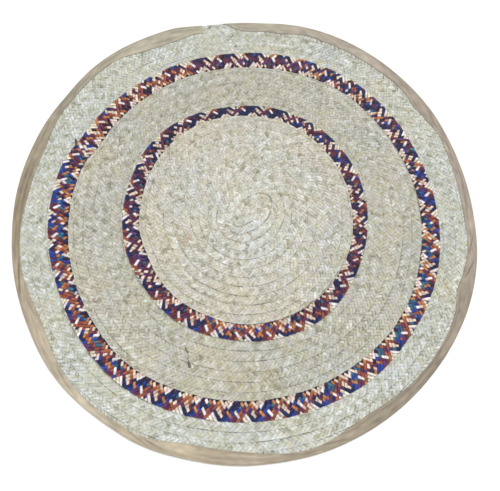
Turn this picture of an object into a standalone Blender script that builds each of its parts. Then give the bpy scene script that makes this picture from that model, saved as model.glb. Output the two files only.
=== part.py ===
"""Round palm leaf mat: strips of plaited leaf sewn in a flat spiral, with two dyed rounds and a cloth binding.

Metres, +Z up. The mat lies flat on z = 0, and the middle of its uneven outline is over the origin.
Radii are measured from the eye of the spiral, a few millimetres off that middle, and angles in degrees,
clockwise from above, from +X (the right) through -Y (the near side). Each round of plait overlaps
the next one out, so the top is a low saw-tooth: every round rises outwards and drops at its sewn edge.
"""

import bisect
import math

import bmesh
import bpy

# Sizes across the mat
MEAN_RADIUS = 0.425
INNER_DYED_FROM = 0.1980
INNER_DYED_TO = 0.2269
OUTER_DYED_FROM = 0.3207
OUTER_DYED_TO = 0.3551

# Rounds of plait in each natural stretch, and the angle at which a new round starts there
CENTRE_ROUNDS = 12
MIDDLE_ROUNDS = 5.8
OUTER_ROUNDS = 4.1
ROUND_START = 90.0

# Thicknesses: a plait at the edge tucked under its neighbour, and at the edge that lies on top
TUCKED_HEIGHT = 0.0016
LAPPED_HEIGHT = 0.0028
DYED_MIDDLE_HEIGHT = 0.0025
STEP_WIDTH = 0.0005
SEAM_GAP = 0.0003

# The binding: a strip of cloth folded over the edge, as a channel around the last round
CLOTH_THICKNESS = 0.0006
FOLD_THICKNESS = 0.0008
PRESSED_HEIGHT = 0.0025
BINDING_UNDER_WIDTH = 0.017
BINDING_END = 257.6
BINDING_START = 263.2

# Angles between cross-sections, and where the bare edge steps out to the outline past each end of the binding
COLUMN_STEP = 5.0
STEP_OUT_FROM = 0.2
STEP_OUT_TO = 0.6
CLEAR_OF_ENDS = 1.0

SHARP_EDGE = 35.0

# How far the edges of the two dyed rounds lie from their mean radii, in millimetres, at each angle.
# The joint of the outer round is between 199 and 205 degrees, where the strip starts again further in.
DYED_EDGES_MM = [
    # angle, inner from, inner to, outer from, outer to
    (7.5, -3.3, -5.2, 0.0, -0.6),
    (22.5, -2.5, -5.1, 2.1, 1.1),
    (37.5, -2.7, -2.4, 4.4, 0.2),
    (52.5, -1.6, 2.2, 1.4, 2.3),
    (67.5, 0.0, 2.2, 1.4, 0.7),
    (82.5, -0.6, 0.6, 2.1, 0.9),
    (97.5, -1.2, -1.6, 3.2, 2.6),
    (112.5, -4.1, -0.9, 5.6, 6.1),
    (127.5, -4.2, -0.9, 9.1, 7.9),
    (142.5, -5.6, -4.5, 4.5, 3.2),
    (157.5, -7.5, -2.6, 2.1, -0.8),
    (172.5, -3.8, -2.6, 0.3, 2.0),
    (187.5, -4.0, -1.6, -0.4, 3.1),
    (199.0, -2.0, -1.0, -1.5, 2.5),
    (205.0, 0.5, 1.5, -9.6, -4.4),
    (217.5, 3.5, 5.7, -7.9, -5.0),
    (232.5, 8.5, 7.0, -7.1, -6.5),
    (247.5, 10.5, 4.3, -5.5, -5.1),
    (262.5, 8.8, 1.5, -4.3, -5.2),
    (277.5, 8.7, 3.5, -3.7, -1.9),
    (292.5, 8.0, 3.7, 0.0, 1.0),
    (307.5, 4.2, 3.1, 1.9, 2.0),
    (322.5, 0.7, 0.8, -1.6, -0.9),
    (337.5, -0.8, -1.4, -2.5, -4.4),
    (352.5, -3.9, -3.3, -0.4, -3.6),
]

# The mat's outline, the visible width of the binding and the height of the crease along it, in millimetres
BINDING_MM = [
    # angle, outline from the mean radius, width, crease
    (0.0, -6.0, 18.0, 0.3),
    (8.0, -3.5, 16.0, 0.5),
    (14.0, -2.5, 21.0, 0.6),
    (19.5, -2.0, 28.0, 0.2),
    (24.0, -2.0, 20.0, 0.1),
    (31.0, -3.0, 15.5, 0.3),
    (43.0, -4.0, 15.0, 0.4),
    (52.0, -4.0, 19.0, 0.4),
    (59.0, -4.0, 23.0, 0.3),
    (65.0, -4.0, 19.0, 0.3),
    (73.0, -3.5, 10.5, 0.4),
    (78.0, -4.0, 10.0, 0.1),
    (84.0, -4.0, 14.5, 0.0),
    (92.0, -2.5, 21.5, 0.0),
    (103.0, -2.0, 23.0, 0.1),
    (108.0, 0.0, 19.0, 0.3),
    (114.0, 1.5, 12.0, 0.3),
    (122.0, 0.0, 11.5, 0.1),
    (134.0, 1.5, 13.0, 0.2),
    (141.0, 1.0, 17.0, 0.0),
    (150.0, -2.5, 24.5, 0.0),
    (157.0, -3.5, 20.5, 0.3),
    (165.0, -4.0, 14.0, 0.6),
    (176.0, -4.5, 14.0, 0.4),
    (183.0, -2.5, 20.5, 0.1),
    (195.0, 0.0, 24.0, 0.0),
    (202.0, 1.5, 23.5, 0.0),
    (207.0, 3.5, 18.0, 0.1),
    (215.0, 4.0, 15.5, 0.1),
    (224.0, 10.5, 16.0, 0.0),
    (233.0, 13.0, 18.0, 0.1),
    (237.0, 12.0, 27.0, 0.2),
    (243.0, 10.5, 31.5, 0.4),
    (250.0, 9.5, 30.5, 0.4),
    (254.0, 4.5, 21.0, 0.2),
    (258.0, 0.5, 18.0, 0.0),
    (263.0, -1.0, 5.5, 0.0),
    (266.0, -1.0, 20.0, 0.0),
    (275.0, 0.0, 19.5, 0.2),
    (280.0, 4.0, 25.0, 0.2),
    (284.0, 6.5, 20.0, 0.1),
    (292.0, 8.5, 21.5, 0.1),
    (305.0, 7.0, 21.5, 0.1),
    (320.0, 3.0, 19.0, 0.2),
    (327.0, 1.5, 26.0, 0.1),
    (333.0, -1.0, 15.0, 0.0),
    (338.0, -3.5, 14.5, 0.3),
    (346.0, -5.5, 16.5, 0.4),
]

# Colour, roughness
PALM_LEAF = ((0.56, 0.55, 0.46, 1.0), 0.62)
DYED_LEAF = ((0.20, 0.10, 0.14, 1.0), 0.55)
BINDING_CLOTH = ((0.45, 0.38, 0.28, 1.0), 0.9)


def smooth_round(table, column):
    """A closed smooth curve through one column of a table, as a function of the angle."""
    angles = [row[0] for row in table]
    values = [row[column] for row in table]
    count = len(table)

    def knot(index):
        turns, place = divmod(index, count)
        return angles[place] + 360.0 * turns, values[place]

    def slope(index):
        (before, low), (after, high) = knot(index - 1), knot(index + 1)
        return (high - low) / (after - before)

    def value_at(angle):
        angle = angle % 360.0
        index = bisect.bisect_right(angles, angle) - 1
        (left, start), (right, end) = knot(index), knot(index + 1)
        span = right - left
        t = (angle - left) / span
        rise, fall = slope(index) * span, slope(index + 1) * span
        return (
            start * (2 * t**3 - 3 * t**2 + 1)
            + rise * (t**3 - 2 * t**2 + t)
            + end * (3 * t**2 - 2 * t**3)
            + fall * (t**3 - t**2)
        )

    return value_at


def edge_curve(mean_radius, table, column):
    """The radius of an edge, in metres, from its mean and its offsets in millimetres."""
    offset = smooth_round(table, column)
    return lambda angle: mean_radius + offset(angle) / 1000.0


inner_dyed_from = edge_curve(INNER_DYED_FROM, DYED_EDGES_MM, 1)
inner_dyed_to = edge_curve(INNER_DYED_TO, DYED_EDGES_MM, 2)
outer_dyed_from = edge_curve(OUTER_DYED_FROM, DYED_EDGES_MM, 3)
outer_dyed_to = edge_curve(OUTER_DYED_TO, DYED_EDGES_MM, 4)
outline = edge_curve(MEAN_RADIUS, BINDING_MM, 1)
binding_width = edge_curve(0.0, BINDING_MM, 2)
crease_height = edge_curve(0.0, BINDING_MM, 3)


def binding_inner(angle):
    return outline(angle) - binding_width(angle)


def is_bare(angle):
    """Whether the outline has no binding here, between the two ends of the strip."""
    return BINDING_END + STEP_OUT_FROM < angle < BINDING_START - STEP_OUT_FROM


def column_angles():
    """The angles of the cross-sections, for one turn from the start of the rounds to the same place again.

    There are extra ones beside the ends of the binding.
    """
    regular = [index * COLUMN_STEP for index in range(round(360.0 / COLUMN_STEP))]
    near_ends = []
    for end, side in ((BINDING_END, 1), (BINDING_START, -1)):
        near_ends += [end, end + side * STEP_OUT_FROM, end + side * STEP_OUT_TO]
    clear = [angle for angle in regular if all(abs(angle - end) > CLEAR_OF_ENDS for end in near_ends)]
    turned = [angle if angle >= ROUND_START else angle + 360.0 for angle in clear + near_ends]
    return sorted(turned) + [ROUND_START + 360.0]


ANGLES = column_angles()


def spot(angle, radius):
    """A point on the floor, from its angle and its radius from the eye of the spiral."""
    turn = math.radians(angle)
    return radius * math.cos(turn), -radius * math.sin(turn)


def outline_middle():
    """The middle of the box around the outline, from the eye of the spiral."""
    edge = [spot(angle, outline(angle)) for angle in ANGLES]
    return [(min(values) + max(values)) / 2 for values in zip(*edge)]


EYE_TO_MIDDLE = outline_middle()


def lapped_rounds(inner, outer, rounds, angle):
    """The top of a natural stretch at one angle: (radius, height) from its inner to its outer edge.

    The rounds follow a spiral that grows clockwise by one pitch a turn, so that the first round starts
    as a wedge at the inner edge and the last one runs out as a wedge at the outer edge.
    """
    pitch = (outer - inner) / rounds
    turn = (angle - ROUND_START) / 360.0
    rise = LAPPED_HEIGHT - TUCKED_HEIGHT
    points = [(inner, TUCKED_HEIGHT)]
    low = inner
    for index in range(math.ceil(rounds) + 1):
        seam = inner + (index + turn) * pitch
        top = min(seam, outer)
        points.append((top, TUCKED_HEIGHT + rise * max(0.0, top - low) / pitch))
        if seam + STEP_WIDTH < outer:
            low = seam + STEP_WIDTH if seam > inner else inner
            points.append((low, TUCKED_HEIGHT))
        else:
            points.append(points[-1])
            low = outer - (points[-1][1] - TUCKED_HEIGHT) / rise * pitch
    return points


def make_solid(name, angles, sections, look, capped=False):
    """A solid from one closed (radius, height) section for each angle, all with the same number of points.

    Points at one place share a corner, so a section that comes round to the first one closes the ring.
    """
    mesh_builder = bmesh.new()
    corners = {}

    def corner(angle, point):
        radius, height = point
        place = (*spot(angle, radius), height)
        key = tuple(round(value, 6) for value in place)
        if key not in corners:
            corners[key] = mesh_builder.verts.new(place)
        return corners[key]

    rings = [[corner(angle, point) for point in section] for angle, section in zip(angles, sections)]
    count = len(rings[0])
    for ring, following in zip(rings, rings[1:]):
        for index in range(count):
            after = (index + 1) % count
            loop = [ring[index], ring[after], following[after], following[index]]
            distinct = list(dict.fromkeys(loop))
            if len(distinct) > 2:
                mesh_builder.faces.new(distinct)
    if capped:
        mesh_builder.faces.new(list(dict.fromkeys(rings[0])))
        mesh_builder.faces.new(list(dict.fromkeys(reversed(rings[-1]))))
    bmesh.ops.recalc_face_normals(mesh_builder, faces=mesh_builder.faces)
    bmesh.ops.triangulate(mesh_builder, faces=mesh_builder.faces)
    mesh = bpy.data.meshes.new(name)
    mesh_builder.to_mesh(mesh)
    mesh_builder.free()
    mesh.shade_smooth()
    mesh.set_sharp_from_angle(angle=math.radians(SHARP_EDGE))
    mesh.materials.append(make_material(name, *look))
    piece = bpy.data.objects.new(name, mesh)
    piece.location = (-EYE_TO_MIDDLE[0], -EYE_TO_MIDDLE[1], 0.0)
    bpy.context.scene.collection.objects.link(piece)
    return piece


def make_material(name, colour, roughness):
    material = bpy.data.materials.new(name + "_finish")
    material.use_nodes = True
    shader = material.node_tree.nodes["Principled BSDF"]
    shader.inputs["Base Color"].default_value = colour
    shader.inputs["Roughness"].default_value = roughness
    shader.inputs["Metallic"].default_value = 0.0
    material.diffuse_color = colour
    return material


def centre_coil():
    """Natural plait from the eye to the inner dyed round."""
    sections = []
    for angle in ANGLES:
        edge = inner_dyed_from(angle) - SEAM_GAP / 2
        top = lapped_rounds(0.0, edge, CENTRE_ROUNDS, angle)
        sections.append([(0.0, 0.0)] + top + [(edge, 0.0)])
    return make_solid("centre_coil", ANGLES, sections, PALM_LEAF)


def dyed_plait(name, start_edge, end_edge):
    """One round of the wider dyed plait, tucked under on the inner side and lapped over on the outer."""
    sections = []
    for angle in ANGLES:
        inner = start_edge(angle) + SEAM_GAP / 2
        outer = end_edge(angle) - SEAM_GAP / 2
        middle = (inner + outer) / 2
        sections.append([
            (inner, 0.0),
            (inner, TUCKED_HEIGHT),
            (middle, DYED_MIDDLE_HEIGHT),
            (outer, LAPPED_HEIGHT),
            (outer, 0.0),
        ])
    return make_solid(name, ANGLES, sections, DYED_LEAF)


def middle_coil():
    """Natural plait between the two dyed rounds."""
    sections = []
    for angle in ANGLES:
        inner = inner_dyed_to(angle) + SEAM_GAP / 2
        outer = outer_dyed_from(angle) - SEAM_GAP / 2
        top = lapped_rounds(inner, outer, MIDDLE_ROUNDS, angle)
        sections.append([(inner, 0.0)] + top + [(outer, 0.0)])
    return make_solid("middle_coil", ANGLES, sections, PALM_LEAF)


def outer_coil():
    """Natural plait outside the dyed rounds, pressed thinner where the binding folds over it."""
    under_height = CLOTH_THICKNESS + SEAM_GAP
    sections = []
    for angle in ANGLES:
        inner = outer_dyed_to(angle) + SEAM_GAP / 2
        bare = is_bare(angle)
        edge = outline(angle) - (0.0 if bare else FOLD_THICKNESS + SEAM_GAP)
        covered_from = edge - SEAM_GAP if bare else binding_inner(angle) - SEAM_GAP
        pitch = (edge - inner) / OUTER_ROUNDS
        rounds = (covered_from - inner) / pitch
        top = lapped_rounds(inner, covered_from, rounds, angle)
        top += [top[-1]] * (2 * math.ceil(OUTER_ROUNDS) + 3 - len(top))
        under_from = outline(angle) - BINDING_UNDER_WIDTH - SEAM_GAP
        sections.append(
            [(inner, 0.0)] + top + [
                (covered_from, PRESSED_HEIGHT),
                (edge, PRESSED_HEIGHT),
                (edge, under_height),
                (under_from, under_height),
                (under_from, 0.0),
            ]
        )
    return make_solid("outer_coil", ANGLES, sections, PALM_LEAF)


def edge_binding():
    """The cloth strip, folded over the edge from its start round to its end."""
    inside = PRESSED_HEIGHT + SEAM_GAP
    top = inside + CLOTH_THICKNESS
    before_gap = [angle for angle in ANGLES if angle <= BINDING_END]
    after_gap = [angle for angle in ANGLES if angle >= BINDING_START]
    angles = after_gap + [angle + 360.0 for angle in before_gap[1:]]
    sections = []
    for angle in angles:
        edge = outline(angle)
        inner = binding_inner(angle)
        fold = edge - FOLD_THICKNESS
        under = edge - BINDING_UNDER_WIDTH
        sections.append([
            (inner, inside),
            (inner, top),
            ((inner + fold) / 2, top + crease_height(angle)),
            (fold, top),
            (edge, (inside + CLOTH_THICKNESS) / 2),
            (fold, 0.0),
            (under, 0.0),
            (under, CLOTH_THICKNESS),
            (fold, CLOTH_THICKNESS),
            (fold, inside),
        ])
    return make_solid("edge_binding", angles, sections, BINDING_CLOTH, capped=True)


def build_mat():
    for old in list(bpy.data.objects):
        bpy.data.objects.remove(old, do_unlink=True)
    centre_coil()
    dyed_plait("inner_dyed_plait", inner_dyed_from, inner_dyed_to)
    middle_coil()
    dyed_plait("outer_dyed_plait", outer_dyed_from, outer_dyed_to)
    outer_coil()
    edge_binding()


build_mat()
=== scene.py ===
# Looks of a round mat: split palm leaf plaited into strips and sewn in a flat spiral, with two dyed rounds
# and a cloth binding. Metres, +Z up. Angles run clockwise from +X as seen from above, so 90 degrees is the
# near side.

import math
import random

import bmesh
import bpy
import numpy as np
from mathutils import Matrix, Vector, noise


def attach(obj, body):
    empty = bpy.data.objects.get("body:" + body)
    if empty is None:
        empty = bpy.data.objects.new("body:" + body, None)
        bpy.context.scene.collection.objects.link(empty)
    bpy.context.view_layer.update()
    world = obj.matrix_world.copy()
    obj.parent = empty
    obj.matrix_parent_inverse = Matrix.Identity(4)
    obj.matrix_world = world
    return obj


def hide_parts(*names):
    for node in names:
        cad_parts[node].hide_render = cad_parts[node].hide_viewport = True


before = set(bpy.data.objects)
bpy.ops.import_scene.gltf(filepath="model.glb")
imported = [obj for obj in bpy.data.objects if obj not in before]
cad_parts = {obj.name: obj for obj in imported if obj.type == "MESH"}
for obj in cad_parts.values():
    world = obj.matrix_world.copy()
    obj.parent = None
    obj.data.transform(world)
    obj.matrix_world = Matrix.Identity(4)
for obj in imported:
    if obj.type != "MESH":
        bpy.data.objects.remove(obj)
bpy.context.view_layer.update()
print("frame loaded:", ", ".join(sorted(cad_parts)))


def linearColour(hexCode):
    channels = [int(hexCode[place:place + 2], 16) / 255 for place in (0, 2, 4)]
    return [c / 12.92 if c <= 0.04045 else ((c + 0.055) / 1.055) ** 2.4 for c in channels] + [1.0]


# short names for the kinds of node that are used most
maths = "ShaderNodeMath"
vectorMaths = "ShaderNodeVectorMath"
mapRange = "ShaderNodeMapRange"
noiseTexture = "ShaderNodeTexNoise"
attribute = "ShaderNodeAttribute"
namedAttribute = "GeometryNodeInputNamedAttribute"
storeAttribute = "GeometryNodeStoreNamedAttribute"
sampleCurve = "GeometryNodeSampleCurve"


def addNode(tree, kind, settings=None, links=None):
    # settings may be the name of an operation alone, and links a tuple for the sockets in their order
    node = tree.nodes.new(kind)
    if isinstance(settings, str):
        settings = {"operation": settings}
    if isinstance(links, tuple):
        links = dict(enumerate(links))
    for name, value in (settings or {}).items():
        setattr(node, name, value)
    for socket, value in (links or {}).items():
        source = value.outputs[0] if isinstance(value, bpy.types.Node) else value
        if isinstance(source, bpy.types.NodeSocket):
            tree.links.new(source, node.inputs[socket])
        else:
            node.inputs[socket].default_value = source
    return node


# The camera of the photograph, then the floor and the studio light

cameraView = {
    "place": (-0.0101, -0.3320, 0.8957),
    "aim": (0.0081, -0.0573, 0.0025),
    "right": (0.99977, 0.0, 0.02126),
    "lens": 37.55,
    "sensor": 36.0,
    "nearest": 0.01,
}


def makeCamera():
    camera = bpy.data.objects.new("camera", bpy.data.cameras.new("camera"))
    camera.data.sensor_width = cameraView["sensor"]
    camera.data.lens = cameraView["lens"]
    camera.data.clip_start = cameraView["nearest"]
    place = Vector(cameraView["place"])
    back = (place - Vector(cameraView["aim"])).normalized()
    up = back.cross(Vector(cameraView["right"])).normalized()
    turned = Matrix((up.cross(back), up, back)).transposed()
    camera.matrix_world = Matrix.Translation(place) @ turned.to_4x4()
    bpy.context.scene.collection.objects.link(camera)
    bpy.context.scene.camera = camera


studio = {
    "floorSize": 12.0,
    "floorColour": "F6F6F6",
    "floorHeight": -0.0002,  # just under the mat, so that no face lies in another
    "skyStrength": 0.68,
    "sunFrom": (0.35, 0.75, 1.15),
    "sunStrength": 1.75,
    "sunSpread": 24.0,
    "fillPlace": (-0.5, -1.7, 1.6),
    "fillAim": (0, -0.2, 0),
    "fillSize": 1.6,
    "fillPower": 9.0,
}


def newMaterial(name):
    material = bpy.data.materials.new(name)
    material.use_nodes = True
    return material, material.node_tree, material.node_tree.nodes["Principled BSDF"]


def aimAt(lamp, source, target):
    lamp.location = source
    lamp.rotation_euler = (Vector(target) - Vector(source)).to_track_quat("-Z", "Y").to_euler()
    bpy.context.scene.collection.objects.link(lamp)


def makeStudio():
    # matt white painted board: no gloss, no pattern
    material, tree, shader = newMaterial("paintedStudioFloor")
    shader.inputs["Base Color"].default_value = linearColour(studio["floorColour"])
    shader.inputs["Roughness"].default_value = 1.0
    half = studio["floorSize"] / 2
    mesh = bpy.data.meshes.new("floor")
    corners = [(-half, -half, 0), (half, -half, 0), (half, half, 0), (-half, half, 0)]
    mesh.from_pydata(corners, [], [(0, 1, 2, 3)])
    mesh.materials.append(material)
    floor = bpy.data.objects.new("floor", mesh)
    floor.location.z = studio["floorHeight"]
    bpy.context.scene.collection.objects.link(floor)
    sun = bpy.data.lights.new("sun", "SUN")
    sun.energy = studio["sunStrength"]
    sun.angle = math.radians(studio["sunSpread"])
    aimAt(bpy.data.objects.new("sun", sun), studio["sunFrom"], (0, 0, 0))
    fill = bpy.data.lights.new("fill", "AREA")
    fill.size = studio["fillSize"]
    fill.energy = studio["fillPower"]
    aimAt(bpy.data.objects.new("fill", fill), studio["fillPlace"], studio["fillAim"])
    world = bpy.data.worlds.new("softbox")
    world.use_nodes = True
    world.node_tree.nodes["Background"].inputs["Strength"].default_value = studio["skyStrength"]
    world.node_tree.nodes["Background"].inputs["Color"].default_value = (1, 1, 1, 1)
    bpy.context.scene.world = world
    bpy.context.scene.view_settings.view_transform = "Standard"


makeCamera()
makeStudio()
print("camera and studio made")


# The edges of the rounds, read from the frame

eye = np.array((0.001271, -0.00099))  # the middle of the spiral, a little off the middle of the mat

# heights between which the binding's upper edge and its hidden edge are looked for
upperSide = (0.0025, 1.0)
lowerSide = (-1.0, 0.0001)


def polar(points):
    # the angles and the radii of points, around the eye
    offset = points[:, :2] - eye
    return np.degrees(np.arctan2(-offset[:, 1], offset[:, 0])) % 360.0, np.hypot(offset[:, 0], offset[:, 1])


def edgeOf(name, pick, heights=(-1.0, 1.0)):
    # the radius of one edge of a node as a function of the angle
    points = np.array([vertex.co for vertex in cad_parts[name].data.vertices])
    angles, radii = polar(points[(points[:, 2] >= heights[0]) & (points[:, 2] <= heights[1])])
    angles = np.round(angles, 1) % 360.0
    columns = sorted(set(angles))
    values = [pick(radii[angles == angle]) for angle in columns]
    return lambda angle: np.interp(angle % 360.0, columns, values, period=360.0)


innerDyedFrom = edgeOf("inner_dyed_plait", min)
innerDyedTo = edgeOf("inner_dyed_plait", max)
outerDyedFrom = edgeOf("outer_dyed_plait", min)
outerDyedTo = edgeOf("outer_dyed_plait", max)
bareOutline = edgeOf("outer_coil", max)
boundOutline = edgeOf("edge_binding", max)
bindingInner = edgeOf("edge_binding", min, upperSide)
bindingUnder = edgeOf("edge_binding", min, lowerSide)


def spot(angle, radius):
    turn = np.radians(angle)
    return eye[0] + radius * np.cos(turn), eye[1] - radius * np.sin(turn)


# Plaiting: every strand is a flat strip of leaf that runs from one edge of the plait to the other, over and
# under the strips that cross it, and folds there. The tree lays one tube for each such run along a guide.

leafRun = {
    "ringShift": 0.3,  # of a row: how far the rings of corners lie before and after each crossing
    "foldLift": 0.4,  # of the lift: how far one run goes up and the other down where they meet at a fold
    "sharpAngle": 50.0,
}


def plaitTree():
    tree = bpy.data.node_groups.new("leafPlait", "GeometryNodeTree")
    sockets = [
        ("Runs", "NodeSocketGeometry"),
        ("Guide", "NodeSocketObject"),
        ("Strands", "NodeSocketInt"),
        ("Leaf Spacing", "NodeSocketFloat"),
        ("Leaf Cover", "NodeSocketFloat"),
        ("Leaf Thickness", "NodeSocketFloat"),
        ("Lift", "NodeSocketFloat"),
        ("Leaf", "NodeSocketMaterial"),
    ]
    for name, kind in sockets:
        tree.interface.new_socket(name, in_out="INPUT", socket_type=kind)
    tree.interface.new_socket("Plait", in_out="OUTPUT", socket_type="NodeSocketGeometry")
    given = tree.nodes.new("NodeGroupInput").outputs

    # one run: a tube of three sides, two rows of corners for each strip that it crosses
    rows = addNode(tree, maths, "MULTIPLY", (given["Strands"], 2.0))
    tube = addNode(tree, "GeometryNodeMeshCylinder", {"fill_type": "NGON"},
                   {"Vertices": 3, "Side Segments": rows, "Radius": 1.0, "Depth": 1.0})
    here = addNode(tree, "GeometryNodeInputPosition")
    tube = addNode(tree, storeAttribute, {"data_type": "FLOAT_VECTOR"},
                   {"Geometry": tube, "Name": "tubePlace", "Value": here})
    placed = addNode(tree, "GeometryNodeInstanceOnPoints", {}, {"Points": given["Runs"], "Instance": tube})
    plait = addNode(tree, "GeometryNodeRealizeInstances", {}, {0: placed})

    lean, start, overRows, widened, proud, which, hidden = [
        addNode(tree, namedAttribute, {"data_type": "FLOAT"}, {"Name": label})
        for label in ("lean", "start", "overRows", "leafWidth", "proud", "leafNumber", "hidden")]
    tubePlace, inwards, laid = [
        addNode(tree, namedAttribute, {"data_type": "FLOAT_VECTOR"}, {"Name": label})
        for label in ("tubePlace", "inwards", "laid")]
    tubeParts = addNode(tree, "ShaderNodeSeparateXYZ", {}, {0: tubePlace})

    # how far across its own strip a corner is, in leaf spacings
    side = addNode(tree, maths, "MULTIPLY", (tubeParts.outputs[1], -1 / math.sqrt(3)))
    across = addNode(tree, maths, "MULTIPLY", (side, given["Leaf Cover"]))
    across = addNode(tree, maths, "MULTIPLY", (across, widened))

    # the rings of corners lie a little before and after each crossing, and the first and last at the folds
    shift = leafRun["ringShift"]
    ring = addNode(tree, maths, "ADD", (tubeParts.outputs[2], 0.5))
    ring = addNode(tree, maths, "MULTIPLY", (ring, rows))
    ring = addNode(tree, maths, "ROUND", {0: ring})
    half = addNode(tree, maths, "MULTIPLY", (ring, 0.5))
    whole = addNode(tree, maths, "FLOOR", {0: half})
    odd = addNode(tree, maths, "SUBTRACT", (half, whole))
    crossing = addNode(tree, maths, "MULTIPLY_ADD", (odd, 4 * shift, whole))
    crossing = addNode(tree, maths, "SUBTRACT", (crossing, shift))
    crossing = addNode(tree, maths, "MAXIMUM", (crossing, 0.0))
    lastRing = addNode(tree, maths, "SUBTRACT", (rows, 0.5))
    atEnd = addNode(tree, maths, "GREATER_THAN", (ring, lastRing))
    atStart = addNode(tree, maths, "LESS_THAN", (ring, 0.5))
    endPlace = addNode(tree, maths, "MULTIPLY", (atEnd, given["Strands"]))
    crossing = addNode(tree, maths, "MAXIMUM", (crossing, endPlace))
    inner = addNode(tree, maths, "ADD", (atEnd, atStart))
    inner = addNode(tree, maths, "SUBTRACT", (1.0, inner))

    # each ring is slanted to lie along the strip that it crosses
    tilt = addNode(tree, maths, "MULTIPLY", (lean, across))
    tilt = addNode(tree, maths, "MULTIPLY", (tilt, inner))
    depth = addNode(tree, maths, "SUBTRACT", (crossing, tilt))
    depth = addNode(tree, maths, "MAXIMUM", (depth, 0.0))
    depth = addNode(tree, maths, "MINIMUM", (depth, given["Strands"]))
    share = addNode(tree, maths, "DIVIDE", (depth, given["Strands"]))
    slant = addNode(tree, maths, "MULTIPLY", (lean, depth))
    along = addNode(tree, maths, "MULTIPLY_ADD", (slant, 0.5, start))
    along = addNode(tree, maths, "ADD", (along, across))
    length = addNode(tree, maths, "MULTIPLY", (along, given["Leaf Spacing"]))

    # over or under: overRows has one binary digit for each crossing, and at a fold one run lies on the other
    row = addNode(tree, maths, "ROUND", {0: crossing})
    placeValue = addNode(tree, maths, "POWER", (2.0, row))
    digit = addNode(tree, maths, "DIVIDE", (overRows, placeValue))
    digit = addNode(tree, maths, "FLOOR", {0: digit})
    digit = addNode(tree, maths, "MODULO", (digit, 2.0))
    raised = addNode(tree, maths, "MULTIPLY_ADD", (digit, 2.0, -1.0))
    firstRow = addNode(tree, maths, "LESS_THAN", (row, 0.5))
    folded = addNode(tree, maths, "MULTIPLY", (lean, leafRun["foldLift"]))
    raised = addNode(tree, "ShaderNodeMix", {}, {"Factor": firstRow, "A": raised, "B": folded})
    raised = addNode(tree, maths, "MULTIPLY", (raised, inner))
    raised = addNode(tree, maths, "MULTIPLY", (raised, given["Lift"]))
    crest = addNode(tree, maths, "GREATER_THAN", (tubeParts.outputs[0], 0.5))
    raised = addNode(tree, maths, "MULTIPLY_ADD", (crest, given["Leaf Thickness"], raised))

    # laid along the guide, whose points hold the way inwards, the width and the heights of the two edges
    guide = addNode(tree, "GeometryNodeObjectInfo", {}, {"Object": given["Guide"]})
    guide = addNode(tree, "GeometryNodeMeshToCurve", {}, {"Mesh": guide.outputs["Geometry"]})
    onEdge = addNode(tree, sampleCurve, {"mode": "LENGTH", "data_type": "FLOAT_VECTOR"},
                     {"Curves": guide, "Value": inwards, "Length": length})
    sizes = addNode(tree, sampleCurve, {"mode": "LENGTH", "data_type": "FLOAT_VECTOR"},
                    {"Curves": guide, "Value": laid, "Length": length})
    sizes = addNode(tree, "ShaderNodeSeparateXYZ", {}, {0: sizes.outputs["Value"]})
    reach = addNode(tree, maths, "MULTIPLY", (sizes.outputs[0], share))
    toInner = addNode(tree, maths, "SUBTRACT", (1.0, share))
    # how far each corner is from the seam of the next round in, which places the painted seam shadow
    hidden = addNode(tree, sampleCurve, {"mode": "LENGTH", "data_type": "FLOAT"},
                     {"Curves": guide, "Value": hidden, "Length": length})
    fromSeam = addNode(tree, maths, "MULTIPLY", (sizes.outputs[0], toInner))
    fromSeam = addNode(tree, maths, "SUBTRACT", (fromSeam, hidden.outputs["Value"]))
    proudHere = addNode(tree, maths, "MULTIPLY", (proud, toInner))
    reach = addNode(tree, maths, "SUBTRACT", (reach, proudHere))
    inset = addNode(tree, vectorMaths, "SCALE", {0: onEdge.outputs["Value"], "Scale": reach})
    height = addNode(tree, mapRange, {},
                     {"Value": share, "To Min": sizes.outputs[1], "To Max": sizes.outputs[2]})
    height = addNode(tree, maths, "ADD", (height, raised))
    rise = addNode(tree, "ShaderNodeCombineXYZ", {}, {2: height})
    spotHere = addNode(tree, vectorMaths, "ADD", (onEdge.outputs["Position"], inset))
    spotHere = addNode(tree, vectorMaths, "ADD", (spotHere, rise))
    plait = addNode(tree, "GeometryNodeSetPosition", {}, {"Geometry": plait, "Position": spotHere})

    # a mirrored run is inside out until its faces are flipped
    mirrored = addNode(tree, maths, "GREATER_THAN", (lean, 0.0))
    plait = addNode(tree, "GeometryNodeFlipFaces", {}, {"Mesh": plait, "Selection": mirrored})

    # where each corner is on its own strip of leaf, for the fibres of the finish
    runLength = addNode(tree, maths, "MULTIPLY", (depth, given["Leaf Spacing"]))
    leafPlace = addNode(tree, "ShaderNodeCombineXYZ", {}, {0: runLength, 1: side, 2: which})
    for label, kind, value in (("leafPlace", "FLOAT_VECTOR", leafPlace), ("crossing", "FLOAT", crossing),
                               ("fromSeam", "FLOAT", fromSeam)):
        plait = addNode(tree, storeAttribute, {"data_type": kind},
                        {"Geometry": plait, "Name": label, "Value": value})
    plait = addNode(tree, "GeometryNodeRealizeInstances", {}, {0: plait})
    plait = addNode(tree, "GeometryNodeSetMaterial", {}, {"Geometry": plait, "Material": given["Leaf"]})
    addNode(tree, "NodeGroupOutput", {}, {0: plait})
    return tree


leafPlaitTree = plaitTree()


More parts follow.
